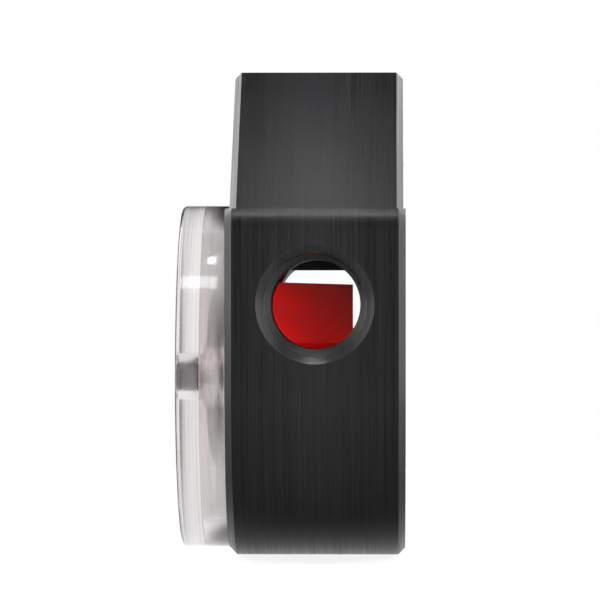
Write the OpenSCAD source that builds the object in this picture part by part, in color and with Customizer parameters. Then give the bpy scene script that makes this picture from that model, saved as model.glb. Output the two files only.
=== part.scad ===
// Paddle wheel flow indicator.
// A black housing with a round bottom, flat port sides and a sloped top holds a
// four-bladed wheel behind a clear cup-shaped cover. Liquid enters one side port,
// passes over the top of the wheel and leaves by the port opposite.
// +X runs through the ports, -Y is the window side and +Z is up.
// The origin is where the wheel's axis meets the rear mounting face.

/* [Housing] */
// Width across the two port flats
body_w = 47; // [46.5:0.5:56]
// Thickness from the rear face to the window face
body_t = 23; // [22.5:0.5:26]
// Height of the top above the wheel's axis
top_z = 40.1; // [38.1:0.5:46.1]
// Width of the flat at the very top
top_flat_w = 3; // [2:0.5:6]
// Height of the sharp corner where flat and slope would meet
shoulder_z = 20.7; // [20:0.1:22]
// Radius that rounds the shoulder
shoulder_r = 3.7; // [3.7:0.1:4.2]
// Bevel along the outer edges
edge_c = 0.9; // [0.5:0.1:0.9]
// How far the sloped top stands back from the window face
top_step_front = 0.6; // [0.2:0.05:0.65]
// How far the sloped top stands back from the rear face
top_step_rear = 0.3; // [0.1:0.05:0.4]

/* [Ports] */
// Height of the port axis above the wheel's axis
port_z = 9.6; // [9:0.1:10.5]
// Major radius of the port thread (G1/4)
port_r = 6.58; // [6:0.01:6.7]
// Depth of the port thread
port_depth = 9; // [8:0.5:9]
// Outer radius of the bevel at the port mouth
port_mouth_r = 7.55; // [7.2:0.05:8]
// Radius of the drilled passage behind each thread
passage_r = 5.72; // [4.5:0.01:5.72]
// Distance from the middle at which each passage ends
passage_end_x = 2.8; // [2:0.1:4]

/* [Chamber and wheel] */
// Radius of the wheel chamber
chamber_r = 14.3; // [14:0.1:14.6]
// Thickness of the wall behind the chamber
floor_t = 5.6; // [5:0.1:6.5]
// Number of blades
blades = 4; // [3:1:6]
// Blade thickness
blade_t = 1.5; // [1:0.1:2]
// Radius over the blade tips at the window side
wheel_r = 12.6; // [11:0.1:13]
// Radius of the wheel's hub
hub_r = 4.4; // [4.2:0.1:5]

/* [Cover] */
// Radius of the cover
cover_r = 22.5; // [21.5:0.1:22.6]
// How far the cover stands out of the housing
cover_h = 6.3; // [6:0.1:7]
// Thickness of its window plate
cover_plate_t = 2.9; // [2.5:0.1:3.2]
// Thickness of its rim
cover_rim_t = 3; // [2.5:0.1:3.2]
// Radius that rounds its front edge
cover_edge_r = 0.6; // [0.3:0.1:1]

/* [Axle] */
// Radius of the axle sleeve
sleeve_r = 2; // [1.8:0.05:2.2]
// Radius of the axle screw's shank
screw_r = 1; // [0.9:0.05:1.05]
// Radius of its head
screw_head_r = 1.9; // [1.8:0.05:2]
// Height of its head
screw_head_h = 2; // [1.8:0.1:2.1]

/* [Mounting holes] */
// Core radius of the tapped holes (M4)
mount_r = 1.65; // [1.2:0.05:2]
// Height of the upper hole above the wheel's axis
mount_top_z = 27.5; // [25:0.5:29]
// Height of the lower hole, below the wheel's axis
mount_low_z = -18.5; // [-19:0.5:-18]
// Depth of both holes
mount_depth = 8; // [5:0.5:10]

/* [Hidden] */
$fn = 96;
eps = 0.01;

half_w = body_w / 2;
face_y = -body_t;                        // window face of the housing
mid_y = face_y / 2;                      // plane of the port axis
top_half = top_flat_w / 2;

// The slope runs from the sharp shoulder corner to the edge of the top flat.
slope = atan2(top_z - shoulder_z, half_w - top_half);
tangent = shoulder_r * tan((90 - slope) / 2);
shoulder_c = [half_w - shoulder_r, shoulder_z - tangent];
step_p = shoulder_c + shoulder_r * [sin(slope), cos(slope)];
ledge = 0.05;                            // the slopes start this far inside the shoulders
top_c = 0.85;                            // bevel along the sloped edges

floor_y = -floor_t;
boss_h = 0.8;                            // low boss on the chamber floor
boss_r = 3.5;
insert_r = 1.9;
insert_l = 4;
insert_seat = insert_l + 0.2;
insert_bore_r = screw_r + 0.02;

cover_front_y = face_y - cover_h;
plate_y = cover_front_y + cover_plate_t; // inner face of the window plate
cover_boss_r = 4.1;
cover_boss_y = plate_y + 2;              // end of the boss that bears on the sleeve
counterbore_r = screw_head_r + 0.15;
head_recess = 0.1;

seal_r = 21;                             // middle radius of the cover seal
seal_cord = 0.65;
groove_gap = 0.1;                        // side clearance of the seal in its groove

sleeve_rear_y = floor_y - boss_h;
washer_t = 0.5;
washer_r = 3.6;
washer_recess_r = washer_r + 0.2;        // recess for it in the back of the wheel
end_gap = 0.05;
run_gap = 0.05;                          // running clearance on the sleeve
washer_front_y = cover_boss_y + end_gap;
washer_rear_y = sleeve_rear_y - end_gap - washer_t;
hub_front_y = washer_front_y + washer_t + 2 * end_gap;
hub_rear_y = washer_rear_y - 2 * end_gap;
bush_r = 3;
bush_l = 3;

blade_front_y = face_y + 1;
blade_rear_y = -6.9;
blade_drop = 0.45;                       // the tip falls this much towards the rear
disc_front_y = -7.3;                     // stiffening disc behind the blades
disc_rear_y = -6.5;
disc_r = 5.6;
flare_r = 2;                             // hollow curve from blade edge to disc
flare_end = acos(1 - (disc_rear_y - blade_rear_y) / flare_r);
flare_z = disc_r + flare_r * sin(flare_end);

screw_front_y = cover_front_y + head_recess;
screw_end_y = -2.6;
socket_r = 0.87;
socket_depth = 1;
thread_end_c = 0.3;                      // bevel at the tip of the screw
screw_seal_cord = 0.4;
screw_seal_r = screw_r + 0.1 + screw_seal_cord;

// A rod, or a ring where bore is given, along +Y from y1 to y2.
module ring(y1, y2, r, bore = 0) {
    translate([0, y1, 0]) rotate([-90, 0, 0]) difference() {
        cylinder(h = y2 - y1, r = r);
        if (bore > 0) translate([0, 0, -1]) cylinder(h = y2 - y1 + 2, r = bore);
    }
}

// Extrudes an outline drawn in X and Z from y1 to y2.
module slab(y1, y2) {
    translate([0, y2, 0]) rotate([90, 0, 0]) linear_extrude(y2 - y1) children();
}

// Disc of the housing's full thickness with both rims bevelled.
module bevelled_disc(r, c = [0, 0]) {
    translate([c[0], 0, c[1]]) rotate([90, 0, 0]) rotate_extrude() polygon([
        [0, 0], [r - edge_c, 0], [r, edge_c],
        [r, body_t - edge_c], [r - edge_c, body_t], [0, body_t],
    ]);
}

// Round bottom and flat sides, as far up as the start of the rounded shoulders.
module lower_block() {
    intersection() {
        bevelled_disc(half_w);
        translate([-half_w, -body_t, -half_w]) cube([body_w, body_t, half_w]);
    }
    linear_extrude(shoulder_c[1]) polygon([
        [half_w - edge_c, 0], [-half_w + edge_c, 0],
        [-half_w, -edge_c], [-half_w, -body_t + edge_c],
        [-half_w + edge_c, -body_t], [half_w - edge_c, -body_t],
        [half_w, -body_t + edge_c], [half_w, -edge_c],
    ]);
}

// Rounded shoulders at full thickness, ending in the small step below the slopes.
module shoulders() {
    step_h = step_p[1] - shoulder_c[1];
    intersection() {
        union() {
            for (side = [-1, 1]) bevelled_disc(shoulder_r, [side * shoulder_c[0], shoulder_c[1]]);
            translate([-shoulder_c[0], -body_t, shoulder_c[1]]) cube([2 * shoulder_c[0], body_t, step_h]);
        }
        translate([-half_w, -body_t, shoulder_c[1]]) cube([body_w, body_t, step_h]);
    }
}

// Bevel of leg c along the edge from p to q (points in X and Z, with q on the right).
// It cuts at depth y, on the window side for face = 1 and on the rear for face = -1.
module edge_cut(p, q, y, c, face) {
    side = 4 * c;
    run = norm(q - p) + side;
    translate([(p[0] + q[0]) / 2, y, (p[1] + q[1]) / 2])
        rotate([45 * face, -atan2(q[1] - p[1], q[0] - p[0]), 0])
            translate([0, 0, side / 2 - c / sqrt(2)]) cube([run, side, side], center = true);
}

// Sloped top, a little thinner than the rest.
module sloped_top() {
    peak = [top_half, top_z];
    foot = step_p - [ledge, 0];
    root = foot - [2, 4];
    front = face_y + top_step_front;
    rear = -top_step_rear;
    difference() {
        slab(front, rear) polygon([
            foot, peak, [-peak[0], peak[1]], [-foot[0], foot[1]],
            [-root[0], root[1]], root,
        ]);
        for (face = [1, -1]) {
            y = face > 0 ? front : rear;
            edge_cut([-peak[0], peak[1]], peak, y, top_c, face);
            for (side = [0, 1]) mirror([side, 0, 0]) edge_cut(peak, foot, y, top_c, face);
        }
    }
}

// Everything drilled along the port axis on the +X side.
module port_cut() {
    mouth = port_mouth_r - port_r;
    translate([0, mid_y, port_z]) rotate([0, 90, 0]) {
        translate([0, 0, passage_end_x]) cylinder(h = half_w - passage_end_x, r = passage_r);
        translate([0, 0, half_w - port_depth]) cylinder(h = port_depth + 1, r = port_r);
        translate([0, 0, half_w - mouth]) cylinder(h = mouth + eps, r1 = port_r, r2 = port_mouth_r + eps);
    }
}

module housing() {
    color("#26272a") difference() {
        union() {
            difference() {
                union() {
                    lower_block();
                    shoulders();
                    sloped_top();
                }
                ring(face_y - 1, floor_y, chamber_r);
            }
            ring(sleeve_rear_y, floor_y + eps, boss_r);
        }
        for (side = [0, 1]) mirror([side, 0, 0]) port_cut();
        ring(sleeve_rear_y - 1, sleeve_rear_y + insert_seat, insert_r);
        ring(face_y - 1, face_y + 2 * seal_cord, seal_r + seal_cord + groove_gap,
             seal_r - seal_cord - groove_gap);
        for (z = [mount_top_z, mount_low_z]) translate([0, 0, z]) ring(-mount_depth, 1, mount_r);
    }
}

// Clear cup: window plate, rim and the boss round the axle screw.
module cover() {
    edge = [for (a = [0:15:90]) [
        cover_r - cover_edge_r + cover_edge_r * cos(a),
        cover_h - cover_edge_r + cover_edge_r * sin(a),
    ]];
    inner_r = cover_r - cover_rim_t;
    plate_h = cover_h - cover_plate_t;
    boss_end = plate_h - (cover_boss_y - plate_y);
    seat_h = plate_h;
    color("#dfe4e6", 0.4) translate([0, face_y, 0]) rotate([90, 0, 0]) rotate_extrude() polygon(concat(
        [[inner_r, 0], [cover_r, 0]], edge,
        [[counterbore_r, cover_h], [counterbore_r, seat_h], [screw_r + 0.1, seat_h],
         [screw_r + 0.1, boss_end], [cover_boss_r, boss_end], [cover_boss_r, plate_h],
         [inner_r, plate_h]]
    ));
}

// Round-section ring about the wheel's axis.
module o_ring(y, r, cord) {
    translate([0, y, 0]) rotate([90, 0, 0]) rotate_extrude() translate([r, 0]) circle(r = cord, $fn = 32);
}

module cover_seal() {
    color("#141414") o_ring(face_y + seal_cord, seal_r, seal_cord);
}

module screw_seal() {
    color("#141414") o_ring(plate_y - screw_seal_cord, screw_seal_r, screw_seal_cord);
}

module axle_screw() {
    neck_y = screw_front_y + screw_head_h;
    tip_y = screw_end_y - thread_end_c;
    color("#b9bcc0") difference() {
        union() {
            ring(screw_front_y, neck_y, screw_head_r);
            ring(neck_y - eps, tip_y, screw_r);
            translate([0, tip_y - eps, 0]) rotate([-90, 0, 0])
                cylinder(h = thread_end_c, r1 = screw_r, r2 = screw_r - thread_end_c);
        }
        translate([0, screw_front_y - 1, 0]) rotate([-90, 0, 0])
            cylinder(h = socket_depth + 1, r = socket_r, $fn = 6);
    }
}

module axle_sleeve() {
    color("#c6c8ca") ring(cover_boss_y, sleeve_rear_y, sleeve_r, screw_r + 0.1);
}

module axle_insert() {
    color("#c9a552") ring(sleeve_rear_y, sleeve_rear_y + insert_l, insert_r, insert_bore_r);
}

module thrust_washer(y) {
    color("#eceae4") ring(y, y + washer_t, washer_r, sleeve_r + run_gap);
}

module wheel_bush(y) {
    color("#eceae4") ring(y, y + bush_l, bush_r, sleeve_r + run_gap);
}

// One upright blade, its rear edge flared out to the stiffening disc.
module blade() {
    flare = [for (a = [0 : flare_end / 6 : flare_end + eps])
        [blade_rear_y + flare_r * (1 - cos(a)), flare_z - flare_r * sin(a)]];
    rotate([90, 0, 90]) translate([0, 0, -blade_t / 2]) linear_extrude(blade_t) polygon(concat(
        [[blade_front_y, bush_r + 0.5], [blade_front_y, wheel_r], [blade_rear_y, wheel_r - blade_drop]],
        flare,
        [[disc_rear_y, bush_r + 0.5]]
    ));
}

module paddle_wheel() {
    bore_r = sleeve_r + 0.4;
    color("#c4160f") difference() {
        union() {
            ring(hub_front_y, hub_rear_y, hub_r);
            ring(disc_front_y, disc_rear_y, disc_r);
            for (i = [0 : blades - 1]) rotate([0, i * 360 / blades, 0]) blade();
        }
        ring(hub_front_y - 1, disc_rear_y + 1, bore_r);
        ring(hub_front_y - 1, hub_front_y + bush_l, bush_r);
        ring(hub_rear_y - bush_l, disc_rear_y + 1, bush_r);
        ring(hub_rear_y, disc_rear_y + 1, washer_recess_r);
    }
}

housing();
cover();
cover_seal();
axle_screw();
screw_seal();
axle_sleeve();
axle_insert();
paddle_wheel();
wheel_bush(hub_front_y);  // wheel_bush_front
wheel_bush(hub_rear_y - bush_l);  // wheel_bush_rear
thrust_washer(washer_front_y);  // thrust_washer_front
thrust_washer(washer_rear_y);  // thrust_washer_rear
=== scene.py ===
"""Looks of an inline paddle wheel flow indicator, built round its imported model.

Everything is in metres, in the model's own frame: +X runs through the ports, -Y is the
window side and +Z is up. The wheel turns about the Y axis. Sizes kept in the classes are
in millimetres, except the studio's.
"""

import logging
import math
from dataclasses import dataclass
from enum import Enum

import bpy
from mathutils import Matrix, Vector


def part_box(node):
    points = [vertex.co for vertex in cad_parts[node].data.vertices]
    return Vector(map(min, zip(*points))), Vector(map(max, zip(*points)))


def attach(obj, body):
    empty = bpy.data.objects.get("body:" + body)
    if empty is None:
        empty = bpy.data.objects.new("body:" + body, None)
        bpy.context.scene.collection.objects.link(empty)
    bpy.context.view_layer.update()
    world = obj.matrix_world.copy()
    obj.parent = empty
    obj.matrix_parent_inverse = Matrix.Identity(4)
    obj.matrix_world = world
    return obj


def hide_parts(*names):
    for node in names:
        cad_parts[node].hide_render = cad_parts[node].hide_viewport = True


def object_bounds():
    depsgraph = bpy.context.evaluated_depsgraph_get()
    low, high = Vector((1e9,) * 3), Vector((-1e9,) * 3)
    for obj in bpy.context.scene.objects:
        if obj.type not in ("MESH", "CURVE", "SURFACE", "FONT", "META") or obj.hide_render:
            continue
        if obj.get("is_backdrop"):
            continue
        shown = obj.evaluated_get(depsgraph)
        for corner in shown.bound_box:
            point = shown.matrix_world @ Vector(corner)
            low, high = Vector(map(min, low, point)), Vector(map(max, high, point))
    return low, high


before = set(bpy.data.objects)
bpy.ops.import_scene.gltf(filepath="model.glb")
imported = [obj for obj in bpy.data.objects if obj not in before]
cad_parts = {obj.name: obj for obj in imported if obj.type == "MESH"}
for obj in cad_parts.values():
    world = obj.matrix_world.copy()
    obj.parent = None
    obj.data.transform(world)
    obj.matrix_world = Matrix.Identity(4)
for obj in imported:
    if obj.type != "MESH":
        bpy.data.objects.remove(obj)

MM = 0.001
WHITE = "#ffffff"
log = logging.getLogger("flow_indicator")

Outline = list[tuple[float, float]]
Point = tuple[float, float, float]
Span = tuple[float, float]


class Side(Enum):
    """Which way along X a port faces."""

    RIGHT = 1
    LEFT = -1


class Way(Enum):
    """The direction that a turned piece or a thread runs along."""

    PORTS = (1.0, 0.0, 0.0)
    WHEEL_AXIS = (0.0, 1.0, 0.0)


class Body(Enum):
    """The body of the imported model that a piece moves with."""

    CASING = "casing"
    WHEEL = "wheel"


# ---------------------------------------------------------------- mesh helpers


def deselect() -> None:
    """Leaves edit mode and selects nothing."""
    if bpy.context.object and bpy.context.object.mode != "OBJECT":
        bpy.ops.object.mode_set(mode="OBJECT")
    bpy.ops.object.select_all(action="DESELECT")


def draw_outline(name: str, points: Outline, way: Way) -> bpy.types.Object:
    """Draws a closed outline as a ring of edges, ready to be spun.

    Args:
        name: Name of the new piece.
        points: (radius, place along the axis) in millimetres, in order.
        way: The axis that the radius is measured from.

    Returns:
        The new object, selected and active, in object mode.
    """
    deselect()
    bpy.ops.mesh.primitive_circle_add(vertices=len(points), radius=MM)
    piece = bpy.context.object
    piece.name = piece.data.name = name
    for vertex, (radius, along) in zip(piece.data.vertices, points):
        place = (along, 0, radius) if way is Way.PORTS else (radius, along, 0)
        vertex.co = Vector(place) * MM
    return piece


def clean(merge: float = 0.001) -> None:
    """Merges doubles on the active piece and turns its faces outwards.

    Args:
        merge: Points closer than this, in millimetres, become one.
    """
    bpy.ops.object.mode_set(mode="EDIT")
    bpy.ops.mesh.select_all(action="SELECT")
    bpy.ops.mesh.remove_doubles(threshold=merge * MM)
    bpy.ops.mesh.normals_make_consistent(inside=False)
    bpy.ops.object.mode_set(mode="OBJECT")


def bevel(piece: bpy.types.Object, width: float, angle: float = 30.0) -> None:
    """Rounds the sharp edges of the active piece.

    Args:
        piece: The active piece.
        width: Width of the bevel in millimetres.
        angle: Edges sharper than this, in degrees, are rounded.
    """
    soften = piece.modifiers.new("edge_break", "BEVEL")
    soften.width = width * MM
    soften.segments = 3
    soften.limit_method = "ANGLE"
    soften.angle_limit = math.radians(angle)
    bpy.ops.object.modifier_apply(modifier=soften.name)


def flatten_shading(piece: bpy.types.Object) -> None:
    """Keeps large flat faces flat beside their rounded edges.

    Args:
        piece: The active piece.
    """
    weigh = piece.modifiers.new("flat_faces", "WEIGHTED_NORMAL")
    weigh.keep_sharp = True
    weigh.weight = 100
    bpy.ops.object.modifier_apply(modifier=weigh.name)


def smooth(angle: float = 30.0) -> None:
    """Shades the active piece smooth up to an angle in degrees."""
    bpy.ops.object.shade_smooth_by_angle(angle=math.radians(angle))


def turned(name: str, points: Outline, steps: int = 128, edge: float = 0.0) -> bpy.types.Object:
    """Turns a closed outline about the wheel's axis, as on a lathe.

    Args:
        name: Name of the new piece.
        points: (radius, place along the axis) in millimetres, in order.
        steps: Facets round the piece.
        edge: Width of the rounding along its edges in millimetres.

    Returns:
        The finished piece.
    """
    piece = draw_outline(name, points, Way.WHEEL_AXIS)
    bpy.ops.object.mode_set(mode="EDIT")
    bpy.ops.mesh.select_all(action="SELECT")
    bpy.ops.mesh.spin(steps=steps, angle=math.tau, center=(0, 0, 0), axis=Way.WHEEL_AXIS.value)
    bpy.ops.object.mode_set(mode="OBJECT")
    clean()
    if edge > 0:
        bevel(piece, edge)
    smooth()
    return piece


def copy_of(name: str, node: str) -> bpy.types.Object:
    """Copies a node's mesh into a new piece, with its loose triangles joined up.

    Args:
        name: Name of the new piece.
        node: The node that it is copied from.

    Returns:
        The new object, selected and active, in object mode.
    """
    merge, flat_angle = 0.002, 0.4
    deselect()
    piece = bpy.data.objects.new(name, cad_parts[node].data.copy())
    piece.data.name = name
    piece.data.materials.clear()
    bpy.context.scene.collection.objects.link(piece)
    piece.select_set(True)
    bpy.context.view_layer.objects.active = piece
    bpy.ops.mesh.customdata_custom_splitnormals_clear()
    clean(merge)
    bpy.ops.object.mode_set(mode="EDIT")
    bpy.ops.mesh.select_all(action="SELECT")
    bpy.ops.mesh.dissolve_limited(angle_limit=math.radians(flat_angle))
    bpy.ops.object.mode_set(mode="OBJECT")
    return piece


@dataclass
class Thread:
    """A helical ridge, either inside a hole or round a shank, in millimetres.

    The ridge is a trapezium: its foot fills nearly the whole pitch, and its crest is narrow.
    """

    name: str
    way: Way
    start: float
    length: float
    pitch: float
    wall_r: float
    crest_r: float
    centre: Point = (0.0, 0.0, 0.0)
    steps_per_turn: int = 64
    sunk: float = 0.03
    half_foot: float = 0.48
    half_crest: float = 0.09
    thinnest: float = 0.04

    def build(self) -> bpy.types.Object:
        """Winds the ridge and thins it out over its first and last half turn.

        Returns:
            The finished ridge.
        """
        base = self.wall_r + (self.sunk if self.wall_r > self.crest_r else -self.sunk)
        foot, crest = self.half_foot * self.pitch, self.half_crest * self.pitch
        rise = self.start + self.pitch / 2
        ridge = draw_outline(self.name, [
            (base, rise - foot), (self.crest_r, rise - crest),
            (self.crest_r, rise + crest), (base, rise + foot),
        ], self.way)
        turns = self.length / self.pitch - 1
        wind = ridge.modifiers.new("helix", "SCREW")
        wind.axis = "X" if self.way is Way.PORTS else "Y"
        wind.angle = math.tau * turns
        wind.screw_offset = self.pitch * MM * turns
        wind.steps = wind.render_steps = round(self.steps_per_turn * turns)
        wind.use_merge_vertices = False
        bpy.ops.object.modifier_apply(modifier=wind.name)
        self.thin_ends(ridge, base)
        self.close_ends()
        ridge.location = Vector(self.centre) * MM
        bpy.ops.object.transform_apply(location=True, rotation=False, scale=False)
        return ridge

    def thin_ends(self, ridge: bpy.types.Object, base: float) -> None:
        """Lets the crest run out into the wall at both ends.

        Args:
            ridge: The wound ridge.
            base: Radius that the ridge stands on.
        """
        corners, on_base = 4, 1e-4
        axis = Vector(self.way.value)
        count = len(ridge.data.vertices) // corners
        for index, vertex in enumerate(ridge.data.vertices):
            ring = index // corners
            along = axis * vertex.co.dot(axis)
            radial = vertex.co - along
            if abs(radial.length / MM - base) < on_base:
                continue
            run = min(ring, count - 1 - ring) / (self.steps_per_turn / 2)
            share = min(1.0, max(self.thinnest, run))
            radius = base + (self.crest_r - base) * share
            vertex.co = along + radial.normalized() * radius * MM

    def close_ends(self) -> None:
        """Caps the two open ends of the active ridge and shades it."""
        merge, sharp = 0.0005, 25
        bpy.ops.object.mode_set(mode="EDIT")
        bpy.ops.mesh.select_all(action="DESELECT")
        bpy.ops.mesh.select_mode(type="EDGE")
        bpy.ops.mesh.select_non_manifold()
        bpy.ops.mesh.edge_face_add()
        bpy.ops.object.mode_set(mode="OBJECT")
        clean(merge)
        smooth(sharp)


# ---------------------------------------------------------------- finishes


def linear(code: str) -> tuple[float, float, float, float]:
    """Turns an sRGB hex colour into linear red, green, blue and alpha.

    Args:
        code: Colour such as "#c4160f".

    Returns:
        Red, green, blue and alpha.
    """
    values = [int(code[i:i + 2], 16) / 255 for i in (1, 3, 5)]
    red, green, blue = (v / 12.92 if v <= 0.04045 else ((v + 0.055) / 1.055) ** 2.4 for v in values)
    return red, green, blue, 1.0


def add_node(tree: bpy.types.NodeTree, kind: str, inputs: dict | None = None,
             **settings: str) -> bpy.types.Node:
    """Adds a node with its settings and links.

    Args:
        tree: The node tree.
        kind: The node's type.
        inputs: Input name or number to a value or to the output that feeds it.
        **settings: The node's own properties.

    Returns:
        The new node.
    """
    node = tree.nodes.new(kind)
    for name, value in settings.items():
        setattr(node, name, value)
    for key, value in (inputs or {}).items():
        if isinstance(value, bpy.types.NodeSocket):
            tree.links.new(value, node.inputs[key])
        else:
            node.inputs[key].default_value = value
    return node


class Finish:
    """What every finish shares: a shader, a grain of a real size, and which way a face looks."""

    def start(self, name: str) -> tuple[bpy.types.Material, bpy.types.NodeTree, bpy.types.Node]:
        """Makes an empty material.

        Args:
            name: Its name.

        Returns:
            The material, its node tree and its Principled shader.
        """
        material = bpy.data.materials.new(name)
        material.use_nodes = True
        tree = material.node_tree
        tree.nodes.clear()
        shader = add_node(tree, "ShaderNodeBsdfPrincipled")
        add_node(tree, "ShaderNodeOutputMaterial", {"Surface": shader.outputs[0]})
        return material, tree, shader

    def grain(self, tree: bpy.types.NodeTree, size: Point, detail: float = 2.0,
              rough: float = 0.5) -> bpy.types.NodeSocket:
        """A grain on Object coordinates that has a real size along each axis.

        Args:
            tree: The node tree.
            size: Grain size along X, Y and Z in millimetres.
            detail: Octaves of finer grain.
            rough: How strong the finer grain is.

        Returns:
            Its value, about 0 to 1.
        """
        place = add_node(tree, "ShaderNodeTexCoord").outputs["Object"]
        scale = tuple(1 / (s * MM) for s in size)
        place = add_node(tree, "ShaderNodeMapping", {"Vector": place, "Scale": scale}).outputs[0]
        return add_node(tree, "ShaderNodeTexNoise", {
            "Vector": place, "Scale": 1.0, "Detail": detail, "Roughness": rough,
        }).outputs["Fac"]

    def facing(self, tree: bpy.types.NodeTree) -> bpy.types.NodeSocket:
        """How squarely a face looks along the wheel's axis.

        Args:
            tree: The node tree.

        Returns:
            1 on the broad faces, 0 on the outline.
        """
        normal = add_node(tree, "ShaderNodeNewGeometry").outputs["True Normal"]
        along = add_node(tree, "ShaderNodeSeparateXYZ", {0: normal}).outputs["Y"]
        return add_node(tree, "ShaderNodeMath", {0: along}, operation="ABSOLUTE").outputs[0]


@dataclass(frozen=True)
class MachinedAcetal(Finish):
    """Black acetal, milled along its outline and flycut on its two faces.

    The cutter leaves fine lines: they run up the port sides and the slopes, and spread
    a highlight sideways. Real lines are about 0.1 mm apart and too fine to show, so
    these are 0.16 mm. A paler band along the middle of the thickness is a painted sheen.
    The bevel at each port mouth is cut last and is the smoothest part, and it is also
    painted paler, a painted highlight. The chamber and passages keep the plain dark
    colour, a painted shade.
    """

    colour: str = "#0a0a0b"
    worn_and_sheen: str = "#3c3d3f"
    ior: float = 1.48
    line: float = 0.16
    line_length: float = 30.0
    line_detail: tuple[float, float] = (3.0, 0.65)
    line_span: Span = (0.38, 0.7)
    line_tone: float = 0.42
    mark: float = 0.096
    mark_length: float = 9.0
    mark_detail: tuple[float, float] = (2.0, 0.7)
    mark_span: Span = (0.62, 0.76)
    mark_tone: float = 0.5
    # Painted sheen: a paler band, this wide each way from the middle of the thickness.
    middle: float = -11.5
    half_band: float = 11.5
    sheen_tone: float = 0.35
    face_span: Span = (0.75, 0.85)
    outline_r: Span = (21.8, 22.0)
    shoulder_z: Span = (17.5, 18.0)
    rear_y: Span = (-1.2, -1.0)
    # Painted shade: the share of the paleness left in the chamber and passages.
    inner_shade: float = 0.05
    port_height: float = 9.6
    bevel_from: Span = (6.48, 6.5)
    bevel_to: Span = (7.6, 7.62)
    # Painted highlight: how much paler the port-mouth bevels are painted.
    bevel_highlight_tone: float = 0.36
    fresh_roughness: float = 0.26
    roughness: Span = (0.3, 0.48)
    rough_span: Span = (0.35, 0.65)
    relief: float = 0.75
    depth: float = 0.03

    def build(self) -> bpy.types.Material:
        """Makes the material.

        Returns:
            The material.
        """
        material, tree, shader = self.start("machined_black_acetal")
        lines = self.along_cutter(tree, self.line, self.line_length, self.line_detail)
        marks = self.along_cutter(tree, self.mark, self.mark_length, self.mark_detail)
        lines_tone = add_node(tree, "ShaderNodeMapRange", {
            0: lines, 1: self.line_span[0], 2: self.line_span[1], 3: 0.0, 4: self.line_tone,
        }).outputs[0]
        tone = add_node(tree, "ShaderNodeMapRange", {
            0: marks, 1: self.mark_span[0], 2: self.mark_span[1], 3: 0.0, 4: self.mark_tone,
        }).outputs[0]
        # Painted highlight: the port-mouth bevels are painted paler; the same mask also makes them
        # smoother.
        bevel_highlight = self.bevel_highlight_mask(tree)
        # Painted sheen: the paler middle band adds to the tone. Painted shade: inside the chamber and
        # passages the tone is cut to a twentieth.
        for part, how in ((lines_tone, "ADD"), (self.painted_sheen(tree), "ADD"),
                          (self.outside(tree), "MULTIPLY"), (bevel_highlight, "ADD")):
            tone = add_node(tree, "ShaderNodeMath", {0: tone, 1: part}, operation=how).outputs[0]
        tone = add_node(tree, "ShaderNodeMapRange", {0: tone}).outputs[0]
        base = add_node(tree, "ShaderNodeMix", {
            0: tone, 6: linear(self.colour), 7: linear(self.worn_and_sheen),
        }, data_type="RGBA").outputs[2]
        rough = add_node(tree, "ShaderNodeMapRange", {
            0: lines, 1: self.rough_span[0], 2: self.rough_span[1],
            3: self.roughness[0], 4: self.roughness[1],
        }).outputs[0]
        share = add_node(tree, "ShaderNodeMapRange", {0: bevel_highlight, 2: self.bevel_highlight_tone}).outputs[0]
        rough = add_node(tree, "ShaderNodeMix", {
            0: share, 2: rough, 3: self.fresh_roughness,
        }).outputs[0]
        bump = add_node(tree, "ShaderNodeBump", {
            "Height": lines, "Strength": self.relief, "Distance": self.depth * MM,
        })
        tree.links.new(base, shader.inputs["Base Color"])
        tree.links.new(rough, shader.inputs["Roughness"])
        tree.links.new(bump.outputs[0], shader.inputs["Normal"])
        shader.inputs["IOR"].default_value = self.ior
        return material

    def along_cutter(self, tree: bpy.types.NodeTree, width: float, length: float,
                     detail: tuple[float, float]) -> bpy.types.NodeSocket:
        """Lines as the cutter leaves them, upright on the outline and on both broad faces.

        Args:
            tree: The node tree.
            width: Their spacing.
            length: Their length.
            detail: Octaves of finer lines and how strong they are.

        Returns:
            Their value, about 0 to 1.
        """
        sides = self.grain(tree, (length, width, length), *detail)
        faces = self.grain(tree, (width, length, length), *detail)
        share = add_node(tree, "ShaderNodeMapRange", {
            0: self.facing(tree), 1: self.face_span[0], 2: self.face_span[1],
        }).outputs[0]
        return add_node(tree, "ShaderNodeMix", {0: share, 2: sides, 3: faces}).outputs[0]

    def outside(self, tree: bpy.types.NodeTree) -> bpy.types.NodeSocket:
        """Tells the outer surfaces from the chamber and passages, which get a painted shade.

        Args:
            tree: The node tree.

        Returns:
            1 outside and nearly 0 inside.
        """
        place = add_node(tree, "ShaderNodeTexCoord").outputs["Object"]
        flat = add_node(tree, "ShaderNodeVectorMath", {
            0: place, 1: (1.0, 0.0, 1.0),
        }, operation="MULTIPLY")
        away = add_node(tree, "ShaderNodeVectorMath", {0: flat.outputs[0]}, operation="LENGTH")
        split = add_node(tree, "ShaderNodeSeparateXYZ", {0: place})
        rim, high, rear = [
            add_node(tree, "ShaderNodeMapRange", {
                0: value, 1: start * MM, 2: end * MM, 3: self.inner_shade,
            }).outputs[0]
            for value, (start, end) in (
                (away.outputs["Value"], self.outline_r),
                (split.outputs["Z"], self.shoulder_z),
                (split.outputs["Y"], self.rear_y),
            )
        ]
        for part in (high, rear):
            rim = add_node(tree, "ShaderNodeMath", {0: rim, 1: part}, operation="MAXIMUM").outputs[0]
        return rim

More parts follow.
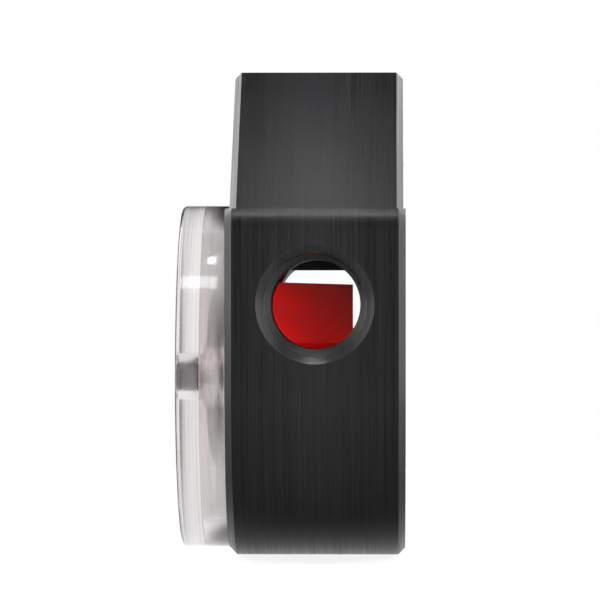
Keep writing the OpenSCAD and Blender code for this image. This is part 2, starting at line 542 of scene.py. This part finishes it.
    def painted_sheen(self, tree: bpy.types.NodeTree) -> bpy.types.NodeSocket:
        """A paler band along the middle of the thickness: a painted sheen.

        Args:
            tree: The node tree.

        Returns:
            How much paler it is.
        """
        place = add_node(tree, "ShaderNodeTexCoord").outputs["Object"]
        across = add_node(tree, "ShaderNodeSeparateXYZ", {0: place}).outputs["Y"]
        off = add_node(tree, "ShaderNodeMath", {0: across, 1: -self.middle * MM}, operation="ADD")
        off = add_node(tree, "ShaderNodeMath", {0: off.outputs[0]}, operation="ABSOLUTE").outputs[0]
        return add_node(tree, "ShaderNodeMapRange", {
            0: off, 1: 0.0, 2: self.half_band * MM, 3: self.sheen_tone, 4: 0.0,
        }, interpolation_type="SMOOTHSTEP").outputs[0]

    def bevel_highlight_mask(self, tree: bpy.types.NodeTree) -> bpy.types.NodeSocket:
        """The bevel round each port mouth, cut last, smoother and painted paler than the rest as a
        painted highlight.

        Args:
            tree: The node tree.

        Returns:
            How much paler it is.
        """
        place = add_node(tree, "ShaderNodeTexCoord").outputs["Object"]
        offset = add_node(tree, "ShaderNodeVectorMath", {
            0: place, 1: (0.0, -self.middle * MM, -self.port_height * MM),
        }, operation="ADD").outputs[0]
        flat = add_node(tree, "ShaderNodeVectorMath", {
            0: offset, 1: (0.0, 1.0, 1.0),
        }, operation="MULTIPLY")
        away = add_node(tree, "ShaderNodeVectorMath", {0: flat.outputs[0]}, operation="LENGTH")
        away = away.outputs["Value"]
        inner = add_node(tree, "ShaderNodeMapRange", {
            0: away, 1: self.bevel_from[0] * MM, 2: self.bevel_from[1] * MM,
        }).outputs[0]
        outer = add_node(tree, "ShaderNodeMapRange", {
            0: away, 1: self.bevel_to[0] * MM, 2: self.bevel_to[1] * MM, 3: self.bevel_highlight_tone, 4: 0.0,
        }).outputs[0]
        return add_node(tree, "ShaderNodeMath", {
            0: outer, 1: inner,
        }, operation="MULTIPLY").outputs[0]


@dataclass(frozen=True)
class ClearAcrylic(Finish):
    """Clear acrylic, polished in front, with faint lathe rings and a haze on its rim.

    Real rings are about 0.1 mm apart and too fine to show, so these are 0.3 mm.
    """

    ior: float = 1.49
    colour: str = "#e6e3e3"
    line_colour: str = "#cfcccd"
    ring: float = 0.3
    ring_length: float = 80.0
    ring_span: Span = (0.52, 0.68)
    rim_span: Span = (0.3, 0.8)
    face_roughness: float = 0.04
    rim_roughness: Span = (0.07, 0.16)
    rough_span: Span = (0.35, 0.65)
    relief: float = 0.15
    depth: float = 0.01

    def build(self) -> bpy.types.Material:
        """Makes the material.

        Returns:
            The material.
        """
        material, tree, shader = self.start("polished_clear_acrylic")
        rings = self.grain(tree, (self.ring_length, self.ring, self.ring_length), 3.0, 0.6)
        rim = add_node(tree, "ShaderNodeMapRange", {
            0: self.facing(tree), 1: self.rim_span[0], 2: self.rim_span[1], 3: 1.0, 4: 0.0,
        }).outputs[0]
        haze = add_node(tree, "ShaderNodeMapRange", {
            0: rings, 1: self.rough_span[0], 2: self.rough_span[1],
            3: self.rim_roughness[0], 4: self.rim_roughness[1],
        }).outputs[0]
        rough = add_node(tree, "ShaderNodeMix", {
            0: rim, 2: self.face_roughness, 3: haze,
        }).outputs[0]
        turned_line = add_node(tree, "ShaderNodeMapRange", {
            0: rings, 1: self.ring_span[0], 2: self.ring_span[1],
        }).outputs[0]
        share = add_node(tree, "ShaderNodeMath", {
            0: rim, 1: turned_line,
        }, operation="MULTIPLY").outputs[0]
        base = add_node(tree, "ShaderNodeMix", {
            0: share, 6: linear(self.colour), 7: linear(self.line_colour),
        }, data_type="RGBA").outputs[2]
        bump = add_node(tree, "ShaderNodeBump", {
            "Height": rings, "Strength": self.relief, "Distance": self.depth * MM,
        })
        tree.links.new(base, shader.inputs["Base Color"])
        tree.links.new(rough, shader.inputs["Roughness"])
        tree.links.new(bump.outputs[0], shader.inputs["Normal"])
        shader.inputs["Transmission Weight"].default_value = 1.0
        shader.inputs["IOR"].default_value = self.ior
        return material


@dataclass(frozen=True)
class MouldedAcetal(Finish):
    """Injection moulded acetal: an even colour, a soft gloss and a slight glow in thin parts.

    Melt flow gives clouds of 5 to 9 mm, and the mould's grain is 0.25 mm.
    """

    name: str
    colour: str
    shade: str
    glow: float
    flow: Point = (5.0, 9.0, 5.0)
    mould_grain: float = 0.25
    span: Span = (0.3, 0.7)
    roughness: Span = (0.28, 0.4)
    relief: float = 0.1
    depth: float = 0.01
    ior: float = 1.48
    glow_reach: Point = (1.0, 0.15, 0.1)
    glow_depth: float = 0.8

    def build(self) -> bpy.types.Material:
        """Makes the material.

        Returns:
            The material.
        """
        material, tree, shader = self.start(self.name)
        flow = self.grain(tree, self.flow)
        fine = self.grain(tree, (self.mould_grain,) * 3)
        share = add_node(tree, "ShaderNodeMapRange", {
            0: flow, 1: self.span[0], 2: self.span[1],
        }).outputs[0]
        base = add_node(tree, "ShaderNodeMix", {
            0: share, 6: linear(self.colour), 7: linear(self.shade),
        }, data_type="RGBA").outputs[2]
        rough = add_node(tree, "ShaderNodeMapRange", {
            0: fine, 1: self.span[0], 2: self.span[1], 3: self.roughness[0], 4: self.roughness[1],
        }).outputs[0]
        bump = add_node(tree, "ShaderNodeBump", {
            "Height": fine, "Strength": self.relief, "Distance": self.depth * MM,
        })
        tree.links.new(base, shader.inputs["Base Color"])
        tree.links.new(rough, shader.inputs["Roughness"])
        tree.links.new(bump.outputs[0], shader.inputs["Normal"])
        shader.inputs["IOR"].default_value = self.ior
        shader.inputs["Subsurface Weight"].default_value = self.glow
        shader.inputs["Subsurface Radius"].default_value = self.glow_reach
        shader.inputs["Subsurface Scale"].default_value = self.glow_depth * MM
        return material


@dataclass(frozen=True)
class TurnedMetal(Finish):
    """Bare turned metal: rings round the axis catch the light in fine streaks.

    Real rings are about 0.05 mm apart and too fine to show, so these are 0.12 mm.
    """

    name: str
    colour: str
    shade: str
    ring: float = 0.12
    ring_length: float = 40.0
    cloud: float = 1.5
    span: Span = (0.3, 0.7)
    roughness: Span = (0.2, 0.38)
    relief: float = 0.2
    depth: float = 0.01

    def build(self) -> bpy.types.Material:
        """Makes the material.

        Returns:
            The material.
        """
        material, tree, shader = self.start(self.name)
        rings = self.grain(tree, (self.ring_length, self.ring, self.ring_length))
        cloud = self.grain(tree, (self.cloud,) * 3, 3.0)
        base = add_node(tree, "ShaderNodeMix", {
            0: cloud, 6: linear(self.colour), 7: linear(self.shade),
        }, data_type="RGBA").outputs[2]
        rough = add_node(tree, "ShaderNodeMapRange", {
            0: rings, 1: self.span[0], 2: self.span[1], 3: self.roughness[0], 4: self.roughness[1],
        }).outputs[0]
        bump = add_node(tree, "ShaderNodeBump", {
            "Height": rings, "Strength": self.relief, "Distance": self.depth * MM,
        })
        tree.links.new(base, shader.inputs["Base Color"])
        tree.links.new(rough, shader.inputs["Roughness"])
        tree.links.new(bump.outputs[0], shader.inputs["Normal"])
        shader.inputs["Metallic"].default_value = 1.0
        return material


@dataclass(frozen=True)
class NitrileRubber(Finish):
    """Black nitrile rubber, moulded smooth, with a dull sheen and a little bloom in 2 mm clouds."""

    colour: str = "#111112"
    bloom: str = "#242526"
    cloud: float = 2.0
    cloud_span: Span = (0.35, 0.7)
    mould_grain: float = 0.1
    grain_span: Span = (0.3, 0.7)
    roughness: Span = (0.5, 0.66)
    ior: float = 1.52

    def build(self) -> bpy.types.Material:
        """Makes the material.

        Returns:
            The material.
        """
        material, tree, shader = self.start("black_nitrile_rubber")
        cloud = self.grain(tree, (self.cloud,) * 3, 3.0)
        fine = self.grain(tree, (self.mould_grain,) * 3, 1.0)
        share = add_node(tree, "ShaderNodeMapRange", {
            0: cloud, 1: self.cloud_span[0], 2: self.cloud_span[1],
        }).outputs[0]
        base = add_node(tree, "ShaderNodeMix", {
            0: share, 6: linear(self.colour), 7: linear(self.bloom),
        }, data_type="RGBA").outputs[2]
        rough = add_node(tree, "ShaderNodeMapRange", {
            0: fine, 1: self.grain_span[0], 2: self.grain_span[1],
            3: self.roughness[0], 4: self.roughness[1],
        }).outputs[0]
        tree.links.new(base, shader.inputs["Base Color"])
        tree.links.new(rough, shader.inputs["Roughness"])
        shader.inputs["IOR"].default_value = self.ior
        return material


# ---------------------------------------------------------------- sub-assemblies


def finish_piece(piece: bpy.types.Object, body: Body, slot: str, material: bpy.types.Material,
                 *nodes: str) -> None:
    """Dresses a piece, makes it ride on a body and hides the nodes it stands for.

    Args:
        piece: The finished mesh.
        body: The body that it moves with.
        slot: A material slot's name; not used.
        material: Its finish.
        *nodes: Nodes that it replaces.
    """
    piece.data.materials.clear()
    piece.data.materials.append(material)
    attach(piece, body.value)
    if nodes:
        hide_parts(*nodes)
    log.info("%s: %d faces, rides on %s", piece.name, len(piece.data.polygons), body.value)


def tube(name: str, node: str, bore: float, edge: float, body: Body, slot: str,
         material: bpy.types.Material) -> None:
    """Turns a plain ring to a node's outer size, with broken edges.

    Args:
        name: Name of the piece.
        node: The node that it stands for.
        bore: Bore radius in millimetres.
        edge: Width of the broken edge in millimetres.
        body: The body that it moves with.
        slot: A material slot's name, passed on to finish_piece.
        material: Its finish.
    """
    low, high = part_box(node)
    front, back, outer = low.y / MM, high.y / MM, high.x / MM
    outline = [(bore, front), (outer, front), (outer, back), (bore, back)]
    finish_piece(turned(name, outline, steps=96, edge=edge), body, slot, material, node)


@dataclass
class Housing:
    """The black block with its two threaded ports and two tapped holes, in millimetres."""

    finish: bpy.types.Material
    port_centre: tuple[float, float] = (-11.5, 9.6)
    port_floor: float = 14.5
    port_length: float = 8.2
    port_pitch: float = 1.337
    port_wall_r: float = 6.58
    port_crest_r: float = 5.73
    hole_heights: tuple[float, float] = (27.5, -18.5)
    hole_depth: float = 7.6
    hole_thread_length: float = 7.4
    hole_pitch: float = 0.7
    hole_wall_r: float = 1.65
    hole_crest_r: float = 1.43
    hole_steps: int = 32

    def build(self) -> None:
        """Makes the block and its threads."""
        shell = copy_of("housing_block", "housing")
        smooth(20)
        finish_piece(shell, Body.CASING, "housing_black", self.finish, "housing")
        for side in Side:
            self.port_thread(side)
        for name, height in zip(("upper", "lower"), self.hole_heights):
            self.hole_thread(name, height)

    def port_thread(self, side: Side) -> None:
        """Winds the pipe thread of one port.

        Args:
            side: The port.
        """
        start = self.port_floor if side is Side.RIGHT else -self.port_floor - self.port_length
        thread = Thread(
            f"port_thread_{side.name.lower()}", Way.PORTS, start, self.port_length,
            self.port_pitch, self.port_wall_r, self.port_crest_r, (0, *self.port_centre),
        )
        finish_piece(thread.build(), Body.CASING, "housing_black", self.finish)

    def hole_thread(self, name: str, height: float) -> None:
        """Winds the metric thread of one tapped hole on the rear face.

        Args:
            name: Which hole it is.
            height: Its place along Z.
        """
        thread = Thread(
            f"rear_hole_thread_{name}", Way.WHEEL_AXIS, -self.hole_depth,
            self.hole_thread_length, self.hole_pitch, self.hole_wall_r, self.hole_crest_r,
            (0, 0, height), self.hole_steps,
        )
        finish_piece(thread.build(), Body.CASING, "housing_black", self.finish)


@dataclass
class Cover:
    """The clear cup, its seal and the seal under the screw's head, in millimetres."""

    clear: bpy.types.Material
    rubber: bpy.types.Material
    plate: float = 2.9
    rim: float = 3.0
    edge: float = 0.6
    edge_steps: int = 6
    edge_break: float = 0.08
    counterbore_r: float = 2.05
    hole_r: float = 1.1
    boss_r: float = 4.1
    boss_h: float = 2.0
    seal_r: float = 21.0
    seal_cord: float = 0.65
    screw_seal_r: float = 1.5
    screw_seal_cord: float = 0.4
    squeeze: float = 0.94
    cord_steps: int = 20

    def build(self) -> None:
        """Makes the cover and both seals."""
        low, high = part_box("cover")
        front, back, outer = low.y / MM, high.y / MM, high.x / MM
        inner = outer - self.rim
        plate = front + self.plate
        corner = [(outer - self.edge * (1 - math.sin(a)), front + self.edge * (1 - math.cos(a)))
                  for a in (math.pi / 2 * i / self.edge_steps for i in range(self.edge_steps + 1))]
        points = [
            (self.counterbore_r, front), *corner, (outer, back), (inner, back), (inner, plate),
            (self.boss_r, plate), (self.boss_r, plate + self.boss_h),
            (self.hole_r, plate + self.boss_h), (self.hole_r, plate), (self.counterbore_r, plate),
        ]
        cup = turned("clear_cover", points, steps=192, edge=self.edge_break)
        finish_piece(cup, Body.CASING, "cover_clear", self.clear, "cover")
        self.seal("cover_o_ring", "cover_seal", self.seal_r, self.seal_cord)
        self.seal("screw_o_ring", "screw_seal", self.screw_seal_r, self.screw_seal_cord)

    def seal(self, name: str, node: str, radius: float, cord: float) -> None:
        """Turns one O-ring, slightly flat where it is squeezed.

        Args:
            name: Name of the piece.
            node: The node that it stands for.
            radius: Middle radius.
            cord: Half the cord's thickness.
        """
        low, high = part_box(node)
        middle = (low.y + high.y) / 2 / MM
        angles = [math.tau * i / self.cord_steps for i in range(self.cord_steps)]
        points = [
            (radius + cord * math.cos(a),
             middle + cord * max(-self.squeeze, min(self.squeeze, math.sin(a))))
            for a in angles
        ]
        finish_piece(turned(name, points), Body.CASING, "seal_rubber", self.rubber, node)


@dataclass
class Axle:
    """The screw through the cover, its sleeve and the insert that it screws into, in millimetres."""

    steel: bpy.types.Material
    brass: bpy.types.Material
    screw_edge: float = 0.12
    screw_angle: float = 40.0
    thread_pitch: float = 0.4
    thread_length: float = 3.6
    thread_depth: float = 0.015
    thread_sunk: float = 0.01
    thread_steps: int = 32
    shank_r: float = 1.0
    tip_gap: float = 0.3
    sleeve_bore: float = 1.1
    sleeve_edge: float = 0.08
    insert_bore: float = 1.02
    insert_edge: float = 0.15

    def build(self) -> None:
        """Makes the screw, the sleeve and the insert."""
        screw = copy_of("axle_screw_turned", "axle_screw")
        bevel(screw, self.screw_edge, self.screw_angle)
        smooth()
        finish_piece(screw, Body.CASING, "screw_steel", self.steel, "axle_screw")
        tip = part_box("axle_screw")[1].y / MM
        start = tip - self.tip_gap - self.thread_length
        thread = Thread(
            "axle_screw_thread", Way.WHEEL_AXIS, start, self.thread_length, self.thread_pitch,
            self.shank_r, self.shank_r + self.thread_depth, steps_per_turn=self.thread_steps,
            sunk=self.thread_sunk,
        )
        finish_piece(thread.build(), Body.CASING, "screw_steel", self.steel)
        tube("axle_sleeve_turned", "axle_sleeve", self.sleeve_bore, self.sleeve_edge, Body.CASING,
             "screw_steel", self.steel)
        tube("axle_insert_turned", "axle_insert", self.insert_bore, self.insert_edge, Body.CASING,
             "insert_brass", self.brass)


@dataclass
class PaddleWheel:
    """The red wheel with its two bushes, and the washers it runs between, in millimetres."""

    red: bpy.types.Material
    white: bpy.types.Material
    edge: float = 0.12
    edge_angle: float = 40.0
    bore: float = 2.05
    bush_edge: float = 0.1
    washer_edge: float = 0.08

    def build(self) -> None:
        """Makes the wheel, the bushes and the washers."""
        wheel = copy_of("paddle_wheel_moulded", "paddle_wheel")
        bevel(wheel, self.edge, self.edge_angle)
        smooth()
        flatten_shading(wheel)
        finish_piece(wheel, Body.WHEEL, "wheel_red", self.red, "paddle_wheel")
        for end in ("front", "rear"):
            tube(f"bush_{end}", f"wheel_bush_{end}", self.bore, self.bush_edge, Body.WHEEL,
                 "bush_white", self.white)
            tube(f"washer_{end}", f"thrust_washer_{end}", self.bore, self.washer_edge, Body.CASING,
                 "bush_white", self.white)


# ---------------------------------------------------------------- studio


@dataclass
class Softbox:
    """One rectangular area lamp, in metres, watts and degrees."""

    name: str
    place: Point
    aim: Point
    size: tuple[float, float]
    power: float
    spread: float = 180.0

    def build(self) -> None:
        """Hangs the lamp, out of sight of the camera and of what shows through the cover."""
        lamp = bpy.data.lights.new(self.name, "AREA")
        lamp.shape = "RECTANGLE"
        lamp.size, lamp.size_y = self.size
        lamp.energy = self.power
        lamp.spread = math.radians(self.spread)
        holder = bpy.data.objects.new(self.name, lamp)
        bpy.context.scene.collection.objects.link(holder)
        holder.location = self.place
        aim = Vector(self.aim) - Vector(self.place)
        holder.rotation_euler = aim.to_track_quat("-Z", "Y").to_euler()
        holder.visible_camera = False
        holder.visible_transmission = False


@dataclass
class Studio:
    """Pale floor, soft light and the camera, in metres.

    The floor and the surround look white, directly and through the clear cover, but they
    light and mirror in the object as separate soft panels.
    """

    eye: Point = (0.529, -0.002, 0.0121)
    target: Point = (0.0, -0.0139, 0.0101)
    lens: float = 240.0
    clip: float = 0.01
    middle: float = -0.0115
    floor_size: float = 0.5
    floor_gap: float = 0.0002
    floor_grey: str = "#8c8c8c"
    floor_roughness: float = 0.9
    floor_white: float = 0.85
    depth_span: Span = (0.016, -0.002)
    depth_glow: Span = (0.03, 1.0)
    beside_span: Span = (0.022, 0.04)
    beside_glow: float = 0.8
    ambient: float = 0.03
    side_span: Span = (0.5, 0.95)
    left_glow: float = 2.7
    right_glow: float = 2.8
    top_span: Span = (0.55, 1.0)
    top_glow: float = 0.05
    rim_back: Span = (-0.35, -0.6)
    rim_height: Span = (0.2, 0.5)
    rim_across: Span = (0.35, 0.6)
    rim_glow: float = 6.5
    window_glow: float = 11.0

    def build(self) -> None:
        """Sets the studio up round the object."""
        bpy.context.scene.view_settings.view_transform = "Standard"
        self.floor()
        self.sky()
        mid = self.middle
        for lamp in (
            Softbox("front_box", place=(0.3, -0.01, 0.03), aim=(0.0, mid, 0.005),
                    size=(0.03, 0.06), power=0.009),
            Softbox("shoulder_box", place=(0.067, mid, 0.128), aim=(0.02, mid, 0.02),
                    size=(0.1, 0.022), power=0.055),
            Softbox("slope_box", place=(0.03, mid, 0.2), aim=(0.018, mid, 0.024),
                    size=(0.014, 0.02), power=0.00022, spread=12.0),
        ):
            lamp.build()
        self.camera()

    def seen(self, tree: bpy.types.NodeTree) -> bpy.types.NodeSocket:
        """Tells what is looked at from what only lights the object or mirrors in it.

        Args:
            tree: The node tree.

        Returns:
            1 where it is looked at, directly or through the clear cover.
        """
        path = add_node(tree, "ShaderNodeLightPath")
        return add_node(tree, "ShaderNodeMath", {
            0: path.outputs["Is Camera Ray"], 1: path.outputs["Is Transmission Ray"],
        }, operation="MAXIMUM").outputs[0]

    def floor(self) -> None:
        """Lays a pale sheet under the object, which glows behind it and beside it."""
        deselect()
        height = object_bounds()[0][2] - self.floor_gap
        bpy.ops.mesh.primitive_plane_add(size=self.floor_size, location=(0, 0, height))
        sheet = bpy.context.object
        sheet.name = "pale_floor"
        bpy.ops.object.transform_apply(location=True)
        material, tree, shader = Finish().start("pale_matt_paper")
        shader.inputs["Base Color"].default_value = linear(self.floor_grey)
        shader.inputs["Roughness"].default_value = self.floor_roughness
        shader.inputs["Emission Color"].default_value = linear(WHITE)
        place = add_node(tree, "ShaderNodeTexCoord").outputs["Object"]
        split = add_node(tree, "ShaderNodeSeparateXYZ", {0: place})
        lit = add_node(tree, "ShaderNodeMapRange", {
            0: split.outputs["X"], 1: self.depth_span[0], 2: self.depth_span[1],
            3: self.depth_glow[0], 4: self.depth_glow[1],
        }, interpolation_type="SMOOTHSTEP").outputs[0]
        off = add_node(tree, "ShaderNodeMath", {
            0: split.outputs["Y"], 1: -self.middle,
        }, operation="ADD")
        off = add_node(tree, "ShaderNodeMath", {0: off.outputs[0]}, operation="ABSOLUTE")
        beside = add_node(tree, "ShaderNodeMapRange", {
            0: off.outputs[0], 1: self.beside_span[0], 2: self.beside_span[1],
            3: 0.0, 4: self.beside_glow,
        }, interpolation_type="SMOOTHSTEP").outputs[0]
        lit = add_node(tree, "ShaderNodeMath", {0: lit, 1: beside}, operation="MAXIMUM").outputs[0]
        glow = add_node(tree, "ShaderNodeMix", {
            0: self.seen(tree), 2: lit, 3: self.floor_white,
        }).outputs[0]
        tree.links.new(glow, shader.inputs["Emission Strength"])
        sheet.data.materials.append(material)
        sheet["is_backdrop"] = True

    def sky(self) -> None:
        """Makes a white surround that mirrors as soft side, top and rim light."""
        world = bpy.data.worlds.new("studio")
        world.use_nodes = True
        tree = world.node_tree
        tree.nodes.clear()
        bpy.context.scene.world = world
        direction = add_node(tree, "ShaderNodeTexCoord").outputs["Generated"]
        split = add_node(tree, "ShaderNodeSeparateXYZ", {0: direction})
        x, y, z = split.outputs
        across = add_node(tree, "ShaderNodeMath", {0: y}, operation="ABSOLUTE").outputs[0]
        near, far = self.side_span
        panels = [
            add_node(tree, "ShaderNodeMapRange", {0: value, 1: low, 2: high, 3: 0.0, 4: strength},
                     interpolation_type="SMOOTHSTEP").outputs[0]
            for value, (low, high), strength in (
                (y, (-near, -far), self.left_glow), (y, (near, far), self.right_glow),
                (z, self.top_span, self.top_glow), (x, self.rim_back, 1.0),
                (z, self.rim_height, self.rim_glow), (across, self.rim_across, 1.0),
            )
        ]
        left, right, top, rim, high, wide = panels
        for part in (high, wide):
            rim = add_node(tree, "ShaderNodeMath", {0: rim, 1: part}, operation="MULTIPLY").outputs[0]
        glow = left
        for part in (right, top, rim, self.ambient):
            glow = add_node(tree, "ShaderNodeMath", {0: glow, 1: part}, operation="ADD").outputs[0]
        # Light that has already met a matt surface counts for more, to light the wheel behind
        # the cover.
        bounced = add_node(tree, "ShaderNodeLightPath").outputs["Diffuse Depth"]
        lit = add_node(tree, "ShaderNodeMapRange", {0: bounced, 3: 1.0, 4: self.window_glow}).outputs[0]
        strength = add_node(tree, "ShaderNodeMix", {0: self.seen(tree), 2: glow, 3: lit}).outputs[0]
        back = add_node(tree, "ShaderNodeBackground", {"Color": linear(WHITE), "Strength": strength})
        add_node(tree, "ShaderNodeOutputWorld", {"Surface": back.outputs[0]})

    def camera(self) -> None:
        """Puts the camera opposite the right-hand port."""
        data = bpy.data.cameras.new("camera")
        data.lens = self.lens
        data.clip_start = self.clip
        camera = bpy.data.objects.new("camera", data)
        bpy.context.scene.collection.objects.link(camera)
        camera.location = self.eye
        aim = Vector(self.target) - camera.location
        camera.rotation_euler = aim.to_track_quat("-Z", "Y").to_euler()
        bpy.context.scene.camera = camera


def main() -> None:
    """Builds and dresses the whole object and its studio."""
    logging.basicConfig(level=logging.INFO, format="%(name)s: %(message)s")
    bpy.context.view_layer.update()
    acetal = MachinedAcetal().build()
    rubber = NitrileRubber().build()
    red = MouldedAcetal("moulded_red_acetal", "#f00a05", "#e00703", 0.3).build()
    white = MouldedAcetal("moulded_white_acetal", "#e8e6df", "#dcd9d0", 0.1).build()
    steel = TurnedMetal("turned_stainless_steel", "#b4b5b8", "#9a9b9e").build()
    brass = TurnedMetal("turned_brass", "#c9a552", "#b18c3e").build()
    Housing(acetal).build()
    Cover(ClearAcrylic().build(), rubber).build()
    Axle(steel, brass).build()
    PaddleWheel(red, white).build()
    Studio().build()


if __name__ == "__main__":
    main()
